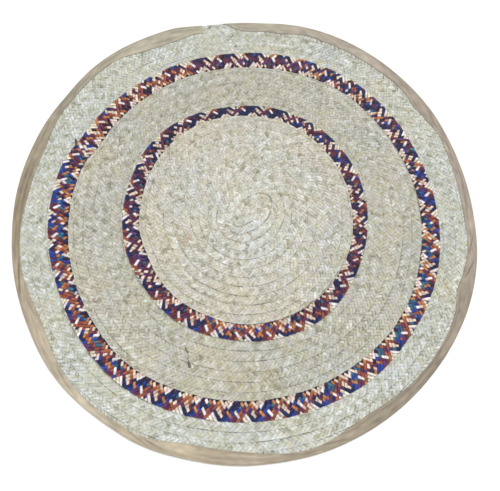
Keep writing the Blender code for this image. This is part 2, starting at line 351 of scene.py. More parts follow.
def makeGuide(name, rows):
    # rows hold the two edges of the plait (x, y), the heights of the sewn edge and of the tucked one, and how
    # much of the plait is hidden under the next one in, which places the painted seam shadow
    rows = np.array(rows)
    sewn, tucked = rows[:, 0:2], rows[:, 2:4]
    widths = np.linalg.norm(tucked - sewn, axis=1)
    mesh = bpy.data.meshes.new(name)
    points = np.column_stack([sewn, np.zeros(len(rows))])
    mesh.from_pydata(points.tolist(), [(k, k + 1) for k in range(len(rows) - 1)], [])
    inwards = np.column_stack([(tucked - sewn) / widths[:, None], np.zeros(len(rows))])
    laid = np.column_stack([widths, rows[:, 4], rows[:, 5]])
    for label, values in (("inwards", inwards), ("laid", laid)):
        layer = mesh.attributes.new(label, "FLOAT_VECTOR", "POINT")
        layer.data.foreach_set("vector", values.astype(np.float32).ravel())
    mesh.attributes.new("hidden", "FLOAT", "POINT").data.foreach_set("value", rows[:, 6].astype(np.float32))
    guide = bpy.data.objects.new(name, mesh)
    bpy.context.scene.collection.objects.link(guide)
    distances = np.concatenate([[0.0], np.cumsum(np.linalg.norm(np.diff(sewn, axis=0), axis=1))])
    return guide, distances


def runRows(over, start, lean, strands):
    # one binary digit for each crossing where the run lies on top
    return float(sum(1 << row for row in range(1, strands) if over(start, lean, row)))


def layPlait(name, guide, length, sizes, material, over):
    # over says for a run (its start and lean) and a row whether the run lies on top there
    chance = random.Random(sizes["seed"])
    strands = sizes["strands"]
    reach = math.ceil(strands / 2)
    runs = int(length / sizes["leafSpacing"]) - reach - 1
    values = {"start": [], "lean": [], "overRows": [], "leafWidth": [], "leafNumber": [], "proud": []}
    for index in range(runs):
        for lean in (1.0, -1.0):
            start = index if lean > 0 else index + reach
            values["start"].append(start + chance.uniform(-1, 1) * sizes["wander"])
            values["lean"].append(lean)
            values["overRows"].append(runRows(over, start, lean, strands))
            values["leafWidth"].append(chance.uniform(*sizes["widths"]))
            values["leafNumber"].append(float(start % strands + strands * (start // sizes["leafRuns"])))
            values["proud"].append(chance.uniform(-1, 1) * sizes["proud"])
    mesh = bpy.data.meshes.new(name)
    mesh.from_pydata([(0.0, 0.0, 0.0)] * len(values["start"]), [], [])
    for label, numbers in values.items():
        mesh.attributes.new(label, "FLOAT", "POINT").data.foreach_set("value", numbers)
    piece = bpy.data.objects.new(name, mesh)
    bpy.context.scene.collection.objects.link(piece)
    modifier = piece.modifiers.new("plait", "NODES")
    modifier.node_group = leafPlaitTree
    given = {
        "Guide": guide,
        "Strands": strands,
        "Leaf Spacing": sizes["leafSpacing"],
        "Leaf Cover": sizes["cover"],
        "Leaf Thickness": sizes["thickness"],
        "Lift": sizes["lift"],
        "Leaf": material,
    }
    for item in leafPlaitTree.interface.items_tree:
        if item.name in given:
            modifier[item.identifier] = given[item.name]
    asMesh(piece)
    bpy.data.objects.remove(guide)
    triangles = sum(len(face.vertices) - 2 for face in piece.data.polygons)
    print(f"{name}: {2 * runs} runs of leaf, {triangles} triangles, strip {length:.2f} m long")
    return piece


def asMesh(piece):
    depsgraph = bpy.context.evaluated_depsgraph_get()
    mesh = bpy.data.meshes.new_from_object(piece.evaluated_get(depsgraph), depsgraph=depsgraph)
    piece.modifiers.clear()
    while mesh.materials and mesh.materials[0] is None:  # the tube comes with an empty slot
        mesh.materials.pop(index=0)
    mesh.polygons.foreach_set("material_index", [0] * len(mesh.polygons))
    piece.data = mesh
    mesh.set_sharp_from_angle(angle=math.radians(leafRun["sharpAngle"]))


def readAll(items, label, kind=np.float32, each=1):
    values = np.zeros(len(items) * each, kind)
    items.foreach_get(label, values)
    return values


def faceRows(mesh, over):
    # the crossing that each face of a run belongs to; between two of them it goes with the one that is on top
    corners = readAll(mesh.loops, "vertex_index", np.int32)
    firsts = readAll(mesh.polygons, "loop_start", np.int32)
    counts = readAll(mesh.polygons, "loop_total", np.int32)
    crossings, starts, leans = [readAll(mesh.attributes[label].data, "value")[corners]
                                for label in ("crossing", "start", "lean")]
    crossing = np.add.reduceat(crossings, firsts) / counts
    start = np.round(starts[firsts]).astype(int)
    lean = leans[firsts]
    low = np.floor(crossing + 0.01).astype(int)
    between = np.abs(crossing - low - 0.5) < 0.1  # about halfway to the next crossing
    onTop = over(start, lean, low)
    rows = np.where(between & ~onTop, low + 1, np.round(crossing).astype(int))
    rows = np.where(between & onTop, low, rows)
    return rows, start, lean, counts


# Finishes

leafFinish = {
    "toneStops": [(0.0, "857F6C"), (0.14, "A5A28F"), (0.5, "BDBBAD"), (0.86, "D0CFC8"), (1.0, "E1E1DE")],
    "toneRange": (0.1, 0.9),
    "cellShare": 0.62,  # of the tone: from the single cell, and the rest from its whole strip of leaf
    "mottleScale": 85.0,
    "mottleDepth": 0.36,
    "streakScale": (120.0, 1.7, 3.1),
    "streakDepth": 0.42,
    "stainStops": [(0.0, "C0B48F"), (0.3, "C9C2A6"), (0.55, "B4BCAB"), (0.75, "BDB7C0"), (1.0, "CBB8AE")],
    "stainScale": 22.0,
    "stainDepth": 0.8,
    "bundleScale": 9.0,
    "warmBundle": (1.04, 1.0, 0.93),
    "coolBundle": (0.97, 1.0, 1.06),
    "middleTint": (1.08, 1.12, 1.16),
    "middleFrom": 0.06,
    "middleTo": 0.18,
    "soakedScale": 190.0,
    "soakedShade": (0.62, 1.3),
    "roughness": 0.58,
    "specular": 0.4,
    "dyedSpecular": 0.18,
    "fibreScale": (90.0, 9.0, 7.3),
    "fibreShade": (0.76, 1.2),
    "fibreBump": 0.4,
    "rimPaintedShade": (0.34, 0.84),  # painted shade along the rims of each strip: where across the strip it begins, and the shade that it ends in
    # the same painted rim shade on the dyed strips, starting nearer the middle and darker
    "dyedRimPaintedShade": (0.22, 0.34),
    # painted shadow in the seams: darkest at the seam line, fading out over seamWidth
    "seamShade": 0.34,
    "seamWidth": 0.0016,
    "seamShadowNoiseScale": 45.0,
}


def stops(ramp, entries):
    while len(ramp.elements) < len(entries):
        ramp.elements.new(0.5)
    for element, (place, code) in zip(ramp.elements, entries):
        element.position = place
        element.color = linearColour(code)


def naturalColour(tree, tint, here, place, leafNumber):
    # undyed leaf: each strip and each cell its own tone, streaks along the leaf, stains, and here and there
    # an odd leaf that has another colour
    leafTone = addNode(tree, "ShaderNodeTexWhiteNoise", {"noise_dimensions": "1D"}, {"W": leafNumber})
    cell = addNode(tree, attribute, {"attribute_name": "cell"}).outputs["Fac"]
    cellTone = addNode(tree, "ShaderNodeTexWhiteNoise", {"noise_dimensions": "1D"}, {"W": cell})
    tone = addNode(tree, "ShaderNodeMix", {},
                   {"Factor": leafFinish["cellShare"], "A": leafTone, "B": cellTone})
    least, most = leafFinish["toneRange"]
    tone = addNode(tree, mapRange, {}, {"Value": tone, "To Min": least, "To Max": most})
    mottle = addNode(tree, noiseTexture, {},
                     {"Vector": here, "Scale": leafFinish["mottleScale"], "Detail": 1.5})
    streak = addNode(tree, vectorMaths, "MULTIPLY", (place, leafFinish["streakScale"]))
    streak = addNode(tree, noiseTexture, {}, {"Vector": streak, "Scale": 1.0, "Detail": 2.0})
    for blotch, depth in ((mottle, leafFinish["mottleDepth"]), (streak, leafFinish["streakDepth"])):
        blotch = addNode(tree, mapRange, {}, {"Value": blotch, "From Min": 0.25, "From Max": 0.75,
                                              "To Min": -depth, "To Max": depth})
        tone = addNode(tree, maths, "ADD", (tone, blotch))
    ramp = addNode(tree, "ShaderNodeValToRGB", {}, {0: tone})
    stops(ramp.color_ramp, leafFinish["toneStops"])
    stained = addNode(tree, noiseTexture, {},
                      {"Vector": here, "Scale": leafFinish["stainScale"], "Detail": 2.0})
    stained = addNode(tree, mapRange, {}, {"Value": stained, "From Min": 0.4, "From Max": 0.8,
                                           "To Max": leafFinish["stainDepth"]})
    stain = addNode(tree, "ShaderNodeValToRGB", {}, {0: cellTone.outputs["Color"]})
    stops(stain.color_ramp, leafFinish["stainStops"])
    mixed = addNode(tree, "ShaderNodeMix", {"data_type": "RGBA"}, {0: stained, 6: ramp, 7: stain})
    bundle = addNode(tree, noiseTexture, {},
                     {"Vector": here, "Scale": leafFinish["bundleScale"], "Detail": 2.0})
    bundle = addNode(tree, mapRange, {"data_type": "FLOAT_VECTOR"},
                     {"Vector": bundle.outputs["Fac"], "From Min": [0.3] * 3, "From Max": [0.7] * 3,
                      "To Min": leafFinish["warmBundle"], "To Max": leafFinish["coolBundle"]})
    colour = addNode(tree, vectorMaths, "MULTIPLY", (mixed.outputs[2], bundle.outputs["Vector"]))
    out = addNode(tree, vectorMaths, "LENGTH", {0: here}).outputs["Value"]
    faded = addNode(tree, mapRange, {"data_type": "FLOAT_VECTOR"},
                    {"Vector": out, "From Min": [leafFinish["middleFrom"]] * 3,
                     "From Max": [leafFinish["middleTo"]] * 3,
                     "To Min": leafFinish["middleTint"], "To Max": [1.0] * 3})
    colour = addNode(tree, vectorMaths, "MULTIPLY", (colour, faded.outputs["Vector"]))
    colour = addNode(tree, vectorMaths, "MULTIPLY", (colour, tint))
    odd = addNode(tree, attribute, {"attribute_name": "oddLeaf"})
    mixed = addNode(tree, "ShaderNodeMix", {"data_type": "RGBA"},
                    {0: odd.outputs["Alpha"], 6: colour, 7: odd.outputs["Color"]})
    return mixed.outputs[2]


def dyedColour(tree, here):
    # leaf that took the dye unevenly
    dye = addNode(tree, attribute, {"attribute_name": "dye"}).outputs["Color"]
    least, most = leafFinish["soakedShade"]
    soaked = addNode(tree, noiseTexture, {},
                     {"Vector": here, "Scale": leafFinish["soakedScale"], "Detail": 2.0})
    soaked = addNode(tree, mapRange, {}, {"Value": soaked, "From Min": 0.25, "From Max": 0.75,
                                          "To Min": least, "To Max": most})
    return addNode(tree, vectorMaths, "SCALE", {0: dye, "Scale": soaked.outputs[0]}).outputs[0]


def leafMaterial(name, tint=None):
    # split palm leaf, dried: fine parallel fibres, a faint waxy sheen, painted shade along the rims of the
    # strips, painted shadow in the seams
    material, tree, shader = newMaterial(name)
    shader.inputs["Roughness"].default_value = leafFinish["roughness"]
    shader.inputs["Specular IOR Level"].default_value = leafFinish["specular" if tint else "dyedSpecular"]
    here = addNode(tree, "ShaderNodeTexCoord").outputs["Object"]
    place = addNode(tree, attribute, {"attribute_name": "leafPlace"}).outputs["Vector"]
    parts = addNode(tree, "ShaderNodeSeparateXYZ", {}, {0: place})
    colour = naturalColour(tree, tint, here, place, parts.outputs[2]) if tint else dyedColour(tree, here)
    stretched = addNode(tree, vectorMaths, "MULTIPLY", (place, leafFinish["fibreScale"]))
    fibres = addNode(tree, noiseTexture, {}, {"Vector": stretched, "Scale": 1.0, "Detail": 3.0})
    least, most = leafFinish["fibreShade"]
    shade = addNode(tree, mapRange, {}, {"Value": fibres, "To Min": least, "To Max": most})
    # painted shade: each strip darker towards both rims, where the strips curl and meet
    rimPaintedShade = addNode(tree, maths, "ABSOLUTE", {0: parts.outputs[1]})
    rimFrom, rimShade = leafFinish["rimPaintedShade" if tint else "dyedRimPaintedShade"]
    rimPaintedShade = addNode(tree, mapRange, {}, {"Value": rimPaintedShade, "From Min": rimFrom, "From Max": 0.5,
                                       "To Min": 1.0, "To Max": rimShade})
    shade = addNode(tree, maths, "MULTIPLY", (shade, rimPaintedShade))
    # painted shadow in the seams, where each round lies over the next, broken up by noise
    fromSeam = addNode(tree, attribute, {"attribute_name": "fromSeam"}).outputs["Fac"]
    seam = addNode(tree, mapRange, {}, {"Value": fromSeam, "From Max": leafFinish["seamWidth"],
                                        "To Min": leafFinish["seamShade"], "To Max": 1.0})
    seamShadowBreak = addNode(tree, noiseTexture, {},
                     {"Vector": here, "Scale": leafFinish["seamShadowNoiseScale"], "Detail": 1.0})
    seamShadowBreak = addNode(tree, mapRange, {}, {"Value": seamShadowBreak, "From Min": 0.35, "From Max": 0.6})
    seam = addNode(tree, "ShaderNodeMix", {}, {"Factor": seamShadowBreak, "A": 1.0, "B": seam})
    shade = addNode(tree, maths, "MULTIPLY", (shade, seam))
    mixed = addNode(tree, vectorMaths, "SCALE", {0: colour, "Scale": shade.outputs[0]})
    tree.links.new(mixed.outputs[0], shader.inputs["Base Color"])
    bump = addNode(tree, "ShaderNodeBump", {},
                   {"Height": fibres, "Strength": leafFinish["fibreBump"], "Distance": 0.0002})
    tree.links.new(bump.outputs[0], shader.inputs["Normal"])
    return material


# The natural stretches: one long plait sewn round and round

# what both kinds of plait have in common
plaitForm = {
    "widths": (0.86, 1.04),  # of a strip of leaf, beside its usual width
    "thickness": 0.0004,
    "lift": 0.00035,
    "overlap": 0.0035,
    "sewnHeight": 0.0020,
    "tuckedHeight": 0.0007,
    "guideStep": 2.0,
}

naturalPlait = {
    **plaitForm,
    "strands": 5,
    "leafSpacing": 0.0075,
    "cover": 0.93,  # width of a strip of leaf, of the spacing
    "leafRuns": 37,  # spacings along the plait before new leaves are worked in
    "wander": 0.08,
    "proud": 0.0006,  # how far a fold may stand out of the sewn edge or in from it
    "narrowest": 0.0025,
    "waver": 0.0003,
    "flatWidth": 2 * (0.0035 + 0.0165),  # both layers of the plait, with the part under the next round
    "roundStart": 90.0,
    "core": -0.0035,  # how far past the middle the first round is tucked
    "firstSeam": 1.9,  # turns from the eye to the first seam that gets painted shadow
    "widerSeamShadowTurns": ((2.02, 2.22), (2.44, 2.85)),  # turns where the painted seam shadow is wider
    "seamShadowWidening": 0.0020,
    "eyeLength": 0.030,
    "eyeOffset": (0.013, 0.014),
    "eyeWay": 318.0,
    "eyeFade": 3.0,
    "eyeLift": 0.001,
    "eyeLiftTurns": (0.625, 1.25),  # over these the lift of the start falls to nothing
    "cellStep": 0.131,  # small enough that the cells of one run share a whole number
}

foldClear = 0.0008  # the last round stops this far inside the fold of the binding

coils = {
    "centre_coil": {
        "from": lambda angle: 0.0, "to": innerDyedFrom, "rounds": 12.0, "firstTurn": 0.3, "seed": 3,
        "leaf": leafMaterial("splitPalmLeafPale", (1.0, 0.99, 0.98)),
    },
    "middle_coil": {
        "from": innerDyedTo, "to": outerDyedFrom, "rounds": 5.8, "firstTurn": 0.08, "seed": 5,
        "leaf": leafMaterial("splitPalmLeafStraw", (0.895, 0.90, 0.885)),
    },
    "outer_coil": {
        "from": outerDyedTo, "to": lambda angle: bareOutline(angle) - foldClear, "rounds": 4.1,
        "firstTurn": 0.08, "seed": 7, "leafSpacing": 0.0080,
        "leaf": leafMaterial("splitPalmLeafGreyGreen", (0.985, 1.03, 1.05)),
    },
}


def eyeSpot(angle, turn, radius, sizes):
    # the plait starts as a straight piece off the middle, so that the first rounds are ovals
    x, y = spot(angle, radius)
    fade = math.exp(-max(turn, 0.0) / sizes["eyeFade"])
    way = math.radians(sizes["eyeWay"])
    alongX, alongY = math.cos(way), -math.sin(way)
    stretch = math.cos(math.radians(angle) - way) * sizes["eyeLength"] * fade
    offsetX, offsetY = sizes["eyeOffset"]
    return x + stretch * alongX + offsetX * fade, y + stretch * alongY + offsetY * fade


def waver(angle):
    waves = math.sin(angle * 0.093) + math.sin(angle * 0.161 + 1.7) + math.sin(angle * 0.037 + 0.6)
    return naturalPlait["waver"] * waves


def coilRows(name, sizes):
    # the sewn edge of each round lies on the next one out; the first and the last round run out as wedges
    inCentre = name == "centre_coil"
    rows = []
    overlap = sizes["overlap"]
    turn = sizes["firstTurn"]
    while True:
        angle = sizes["roundStart"] + 360.0 * turn
        inner, outer = sizes["from"](angle), sizes["to"](angle)
        pitch = (outer - inner) / sizes["rounds"]
        free = inner + turn * pitch
        sewn = min(free + waver(angle), outer)
        tucked = max(free - pitch - overlap, inner - overlap, sizes["core"])
        if sewn - tucked < sizes["narrowest"]:
            return rows
        share = min(1.0, (sewn - tucked) / (pitch + overlap))
        rise = (sizes["sewnHeight"] - sizes["tuckedHeight"]) * share
        sewnHeight = sizes["sewnHeight"] if sewn == outer else sizes["tuckedHeight"] + rise
        tuckedHeight = sizes["tuckedHeight"]
        hidden = overlap
        edges = (*spot(angle, sewn), *spot(angle, tucked))
        if inCentre:
            edges = (*eyeSpot(angle, turn, sewn, sizes), *eyeSpot(angle, turn - 1, tucked, sizes))
            # the start lies over what follows; its first seams get no painted shadow and some later ones a
            # wider band of it
            tuckedHeight += sizes["eyeLift"] * float(np.interp(turn, sizes["eyeLiftTurns"], (1.0, 0.0)))
            sewnHeight = max(sewnHeight, tuckedHeight)
            hidden = overlap if turn > sizes["firstSeam"] else -1.0
            hidden += sum(sizes["seamShadowWidening"] for low, high in sizes["widerSeamShadowTurns"] if low <= turn <= high)
        rows.append((*edges, sewnHeight, tuckedHeight, hidden))
        turn += sizes["guideStep"] / 360.0


def naturalOver(start, lean, row):
    # a twill over two and under two
    return np.where(lean > 0, row >= 3, (row >= 1) & (row < 3))


def storeCells(piece):
    rows, start, lean, counts = faceRows(piece.data, naturalOver)
    cells = start * 2.0 + (lean > 0) + rows * naturalPlait["cellStep"]
    piece.data.attributes.new("cell", "FLOAT", "FACE").data.foreach_set("value", cells.astype(np.float32))


# leaves of another tone: angles from and to, radii from and to, colour, its strength, share of the leaves
oddLeaves = {
    "centre_coil": [
        (100, 150, 0.044, 0.060, "B29C78", 0.55, 0.45), (84, 104, 0.052, 0.062, "C4A878", 0.5, 0.4),
        (100, 150, 0.034, 0.046, "8A7C66", 0.5, 0.4), (290, 312, 0.046, 0.058, "DDD0B4", 0.5, 0.5),
        (300, 336, 0.038, 0.048, "7E7464", 0.4, 0.4), (354, 366, 0.084, 0.094, "86706E", 0.5, 0.35),
        (150, 172, 0.104, 0.134, "B39C80", 0.45, 0.25), (255, 278, 0.104, 0.140, "BCA584", 0.45, 0.22),
        (205, 250, 0.05, 0.12, "CDC0A0", 0.4, 0.15), (300, 330, 0.15, 0.18, "CDBBB4", 0.4, 0.25),
        (0, 360, 0.02, 0.19, "8E8A74", 0.5, 0.03), (0, 360, 0.02, 0.19, "D0C8AC", 0.4, 0.06),
        (0, 360, 0.02, 0.19, "C8B8B0", 0.4, 0.06), (0, 360, 0.178, 0.2, "C4B6C0", 0.3, 0.12),
        (0, 360, 0.178, 0.2, "B8C2A4", 0.3, 0.12),
    ],
    "middle_coil": [
        (0, 360, 0.2, 0.35, "8A8672", 0.55, 0.04), (0, 360, 0.2, 0.35, "C4BC9C", 0.4, 0.07),
        (0, 360, 0.2, 0.35, "B6AAA2", 0.4, 0.06), (80, 100, 0.27, 0.31, "A69A70", 0.45, 0.2),
        (0, 360, 0.222, 0.246, "B4C29A", 0.32, 0.14), (0, 360, 0.222, 0.246, "C0B4C4", 0.3, 0.14),
        (0, 360, 0.305, 0.33, "B8C49C", 0.3, 0.12), (0, 360, 0.305, 0.33, "CAB6B2", 0.32, 0.10),
    ],
    "outer_coil": [
        (0, 360, 0.34, 0.43, "8F8E7C", 0.5, 0.03), (0, 360, 0.34, 0.43, "C4C2A4", 0.35, 0.05),
        (0, 360, 0.345, 0.368, "BECBA8", 0.32, 0.13), (0, 360, 0.345, 0.368, "D0C0CA", 0.34, 0.14),
        (0, 360, 0.345, 0.368, "AEC4C6", 0.32, 0.08), (270, 300, 0.345, 0.372, "CCC090", 0.45, 0.25),
    ],
}

looseStrip = {
    "points": 13,
    "height": 0.00265,
    "thickness": 0.0004,
    "arch": 0.0003,
    "tip": 0.35,  # width of the ends, of the whole
    "swellFrom": 0.12,
    "swellBy": 0.8,
    "leafLength": 0.04,
    "leafNumber": 900.0,
}

# loose strips that lie on the plait: angle and radius of the points on their way, width and colour
looseStrips = {
    "middle_coil": [
        ([(109.0, 0.2860), (109.6, 0.2820), (110.3, 0.2770)], 0.0044, "6F635A"),
        ([(110.4, 0.2765), (111.0, 0.2710), (111.5, 0.2655)], 0.0010, "94856F"),
        ([(111.5, 0.2650), (112.8, 0.2605), (113.8, 0.2555)], 0.0019, "75625A"),
        ([(197.2, 0.318), (198.2, 0.3145), (199.4, 0.3105)], 0.0040, "BDB092"),
        ([(196.0, 0.3135), (197.4, 0.3105), (198.6, 0.3065)], 0.0034, "B4A688"),
    ],
    "outer_coil": [
        ([(203.0, 0.3495), (204.4, 0.3540), (205.3, 0.3590)], 0.0038, "5A3C2C"),
        ([(202.3, 0.3490), (203.5, 0.3520)], 0.0030, "3A261E"),
    ],
}


def paintOddLeaves(piece, entries, seed):
    mesh = piece.data
    angles, radii = polar(readAll(mesh.polygons, "center", each=3).reshape(-1, 3))
    runs = np.floor(readAll(mesh.attributes["cell"].data, "value")).astype(int)
    colours = np.zeros((len(runs), 4), np.float32)
    chance = np.random.RandomState(seed)
    for fromAngle, toAngle, fromRadius, toRadius, code, strength, share in entries:
        chosen = chance.rand(runs.max() + 2) < share
        turned = np.where(angles < fromAngle, angles + 360.0, angles)
        inside = (turned >= fromAngle) & (turned <= toAngle) & (radii >= fromRadius) & (radii <= toRadius)
        colours[inside & chosen[runs]] = (*linearColour(code)[:3], strength)
    layer = mesh.attributes.new("oddLeaf", "FLOAT_COLOR", "FACE")
    layer.data.foreach_set("color", colours.ravel())


def addLooseStrips(piece, entries):
    builder = bmesh.new()
    builder.from_mesh(piece.data)
    odd = builder.faces.layers.float_color["oddLeaf"]
    seam = builder.verts.layers.float["fromSeam"]
    place = builder.verts.layers.float_vector["leafPlace"]
    last = looseStrip["points"] - 1
    fine = np.linspace(0, 1, last + 1)
    for way, width, code in entries:
        angles, radii = np.array(way).T
        share = np.linspace(0, 1, len(way))
        x, y = spot(np.interp(fine, share, angles), np.interp(fine, share, radii))
        rings = []
        for k in range(last + 1):
            low, high = max(0, k - 1), min(last, k + 1)
            ahead = Vector((x[high] - x[low], y[high] - y[low])).normalized()
            swell = math.sin(math.pi * (looseStrip["swellFrom"] + looseStrip["swellBy"] * fine[k]))
            wide = width * (looseStrip["tip"] + (1.0 - looseStrip["tip"]) * swell)
            base = looseStrip["height"] + looseStrip["arch"] * math.sin(math.pi * fine[k])
            ring = []
            for side, lift in ((-0.5, 0.0), (0.5, 0.0), (0.0, looseStrip["thickness"])):
                away = side * wide
                corner = builder.verts.new((x[k] - ahead.y * away, y[k] + ahead.x * away, base + lift))
                corner[seam] = 1.0
                corner[place] = (fine[k] * looseStrip["leafLength"], side, looseStrip["leafNumber"])
                ring.append(corner)
            rings.append(ring)
        faces = [builder.faces.new(list(reversed(rings[0]))), builder.faces.new(rings[-1])]
        for ring, following in zip(rings, rings[1:]):
            for k in range(3):
                after = (k + 1) % 3
                faces.append(builder.faces.new((ring[k], ring[after], following[after], following[k])))
        for face in faces:
            face[odd] = (*linearColour(code)[:3], 1.0)
            face.smooth = True
        bmesh.ops.recalc_face_normals(builder, faces=faces)
    builder.to_mesh(piece.data)
    builder.free()


def declare(piece, name):
    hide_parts(name)
    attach(piece, "root")


def makeCoil(name):
    sizes = {**naturalPlait, **coils[name]}
    guide, distances = makeGuide(name + "_guide", coilRows(name, sizes))
    length = float(distances[-1])
    piece = layPlait(name + "_plait", guide, length, sizes, sizes["leaf"], naturalOver)
    storeCells(piece)
    paintOddLeaves(piece, oddLeaves[name], sizes["seed"])
    addLooseStrips(piece, looseStrips.get(name, []))
    declare(piece, name)


for coilName in coils:
    makeCoil(coilName)


# The dyed rounds

dyedLeaf = leafMaterial("splitPalmLeafDyed")

dyedPlait = {
    **plaitForm,
    "strands": 8,
    "leafSpacing": 0.00706,
    "cover": 0.94,
    "leafRuns": 80,
    "wander": 0.05,
    "proud": 0.0005,
    "flatWidth": 2 * 0.036,  # both layers
    "joinLength": 0.062,
    "joinSewnDrop": 0.0011,
    "joinTuckedDrop": 0.0003,
    "phase": 6,  # strips from the start of the round to the chart's first column
    "stray": 0.11,  # share of the cells that take a dye from beside them
    "cellTones": (0.8, 1.2),
}

# each zone ends at an angle and says which dyes take the place of the chart's there, near the sewn edge and
# then further in: R:KM turns a rust cell near black or maroon
dyedRounds = {
    "inner_dyed_plait": {
        "from": innerDyedFrom, "to": innerDyedTo, "strength": 1.05, "join": 150.0, "seed": 11,
        "zones": [
            (10, "R:KM M:K P:K", "R:KM B:K O:K C:WN"),
            (35, "P:MK B:N R:RM", "B:MN O:RM R:MR"),
            (68, "P:RM B:NB", "B:MN O:RM R:MR"),
            (110, "M:RM P:M B:NB", "B:ORN N:NB K:R"),
            (140, "P:BM", "B:NM O:RM R:RM"),
            (180, "B:PN P:M", "B:NP R:M O:M"),
            (210, "P:MP B:N", "B:MN R:M O:RM"),
            (250, "P:M B:BN W:S L:SL", "R:M M:K B:NK O:RM"),
            (295, "P:NK B:N M:MK W:S L:SL", "B:N R:M O:N"),
            (335, "B:N P:N W:WS L:S", "B:NB R:MK O:MO"),
            (360, "M:MR P:M B:NB", "R:RM B:NM O:RO"),
        ],
    },
    "outer_dyed_plait": {
        "from": outerDyedFrom, "to": outerDyedTo, "strength": 1.13, "join": 202.0, "seed": 13,
        "zones": [
            (25, "R:MR P:MK B:BN", "B:BT N:NT K:KT R:RO"),
            (60, "R:OR P:PM", "B:BT N:NT O:OR"),
            (125, "", "B:BN"),
            (164, "B:BN M:MP", "B:BTR M:MR N:BN L:LLM"),
            (197, "B:BT P:BM N:NB R:RM", "B:BT N:BN R:RM C:CO L:LON"),
            (201, "B:BS P:M", "N:NS R:RS O:OC L:S"),
            (250, "P:KM B:BN R:RO W:S L:SL N:NS", "B:KM N:KM M:MR T:KN"),
            (285, "P:K M:MK B:BN R:RO W:WS L:S", "B:PMN N:K R:PM O:M"),
            (300, "R:O B:BT W:S L:SC M:MR", "R:MO O:OC B:PN T:M"),
            (340, "P:NM R:KM B:BNT", "M:NK R:MO O:MR B:BNP T:TN"),
            (360, "P:NP", "R:MR O:N"),
        ],
    },
}

# one repeat of the dyed plait from its sewn edge down: the strip on top at each crossing, where r leans right
# from the sewn edge inwards and l leans left, and its dye
dyedChart = [
    ("rrrrrrrr", "SRMPBNWS"),
    ("llllllrr", "RMPBNNWS"),
    ("rlllrrrl", "WMOBLNLR"),
    ("rrrrlrll", "WBOMCMPR"),
    ("llllllll", "BBNRLRMB"),
    ("llllllll", "NWLORMTB"),
    ("lrrlrrrr", "WLCOCONK"),
    ("rrrrrrrr", "LKLKNNPS"),
]

# rust, maroon, plum, blue, navy, white, cream, pale pink, orange, near black, teal, straw
dyes = {
    "R": "92503E", "M": "5E3044", "P": "54386A", "B": "2E3F8C", "N": "232A50", "W": "D8D0D2",
    "C": "CFBFAA", "L": "D6BEB0", "O": "B27448", "K": "30202A", "T": "3A647C", "S": "D2CAB6",
}

rightOnTop = np.array([[mark == "r" for mark in marks] for marks, letters in dyedChart])
repeat = len(dyedChart)  # the chart is as many strips long as the plait has strands


def chartPlace(start, lean, row):
    # which repeat of the chart a crossing is in, and its column there
    first = np.where(lean > 0, start, start - row) - dyedPlait["phase"]
    return first // repeat, first % repeat


def dyedOver(start, lean, row):
    column = chartPlace(start, lean, row)[1]
    return rightOnTop[np.clip(row, 0, repeat - 1), column] == (lean > 0)


def zoneChart(zone, sizes, chance):
    # the colours of one repeat, with the dyes of its zone and a few stray ones
    byEdge, furtherIn = [dict(pair.split(":") for pair in swaps.split()) for swaps in zone[1:]]
    lines = []
    for row, (marks, letters) in enumerate(dyedChart):
        swaps = byEdge if row < 2 else furtherIn
        letters = [chance.choice(swaps.get(letter, letter)) for letter in letters]
        letters = [chance.choice(letters) if chance.random() < sizes["stray"] else letter
                   for letter in letters]
        tones = [chance.uniform(*sizes["cellTones"]) * sizes["strength"] for _ in letters]
        lines.append([[c * tone for c in linearColour(dyes[letter])] for letter, tone in zip(letters, tones)])
    return lines


def dyeStrips(piece, sizes, distances, angles):
    row, start, lean, counts = faceRows(piece.data, dyedOver)
    row = np.clip(row, 0, repeat - 1)
    unit, column = chartPlace(start, lean, row)
    chance = random.Random(sizes["seed"] + 100)
    charts = []
    for index in range(unit.min(), unit.max() + 1):
        place = ((index + 0.5) * repeat + sizes["phase"]) * sizes["leafSpacing"]
        angle = np.interp(place, distances, angles) % 360.0
        zone = next(zone for zone in sizes["zones"] if angle <= zone[0])
        charts.append(zoneChart(zone, sizes, chance))
    found = np.array(charts)[unit - unit.min(), row, column]
    found[:, 3] = 1.0
    layer = piece.data.color_attributes.new("dye", "FLOAT_COLOR", "CORNER")
    layer.data.foreach_set("color", np.repeat(found, counts, axis=0).astype(np.float32).ravel())


def makeDyedRound(name):
    sizes = {**dyedPlait, **dyedRounds[name]}
    join = sizes["join"]
    lap = math.degrees(sizes["joinLength"] / sizes["to"](join))
    angles = np.arange(join - lap / 2, join + 360.0 + lap / 2, sizes["guideStep"])
    rows = []
    for angle in angles:
        outer, inner = sizes["to"](angle), sizes["from"](angle)
        under = max(0.0, 1.0 - (angle - angles[0]) / lap)  # the first part of the round lies under its end
        rows.append((*spot(angle, outer), *spot(angle, inner - sizes["overlap"]),
                     sizes["sewnHeight"] - sizes["joinSewnDrop"] * under,
                     sizes["tuckedHeight"] - sizes["joinTuckedDrop"] * under, sizes["overlap"]))
    guide, distances = makeGuide(name + "_guide", rows)
    length = float(distances[-1])
    piece = layPlait(name + "_strips", guide, length, sizes, dyedLeaf, dyedOver)
    dyeStrips(piece, sizes, distances, angles)
    declare(piece, name)


for roundName in dyedRounds:
    makeDyedRound(roundName)


# Cloth binding: one strip folded over the edge of the mat, its two ends a little apart at the far side

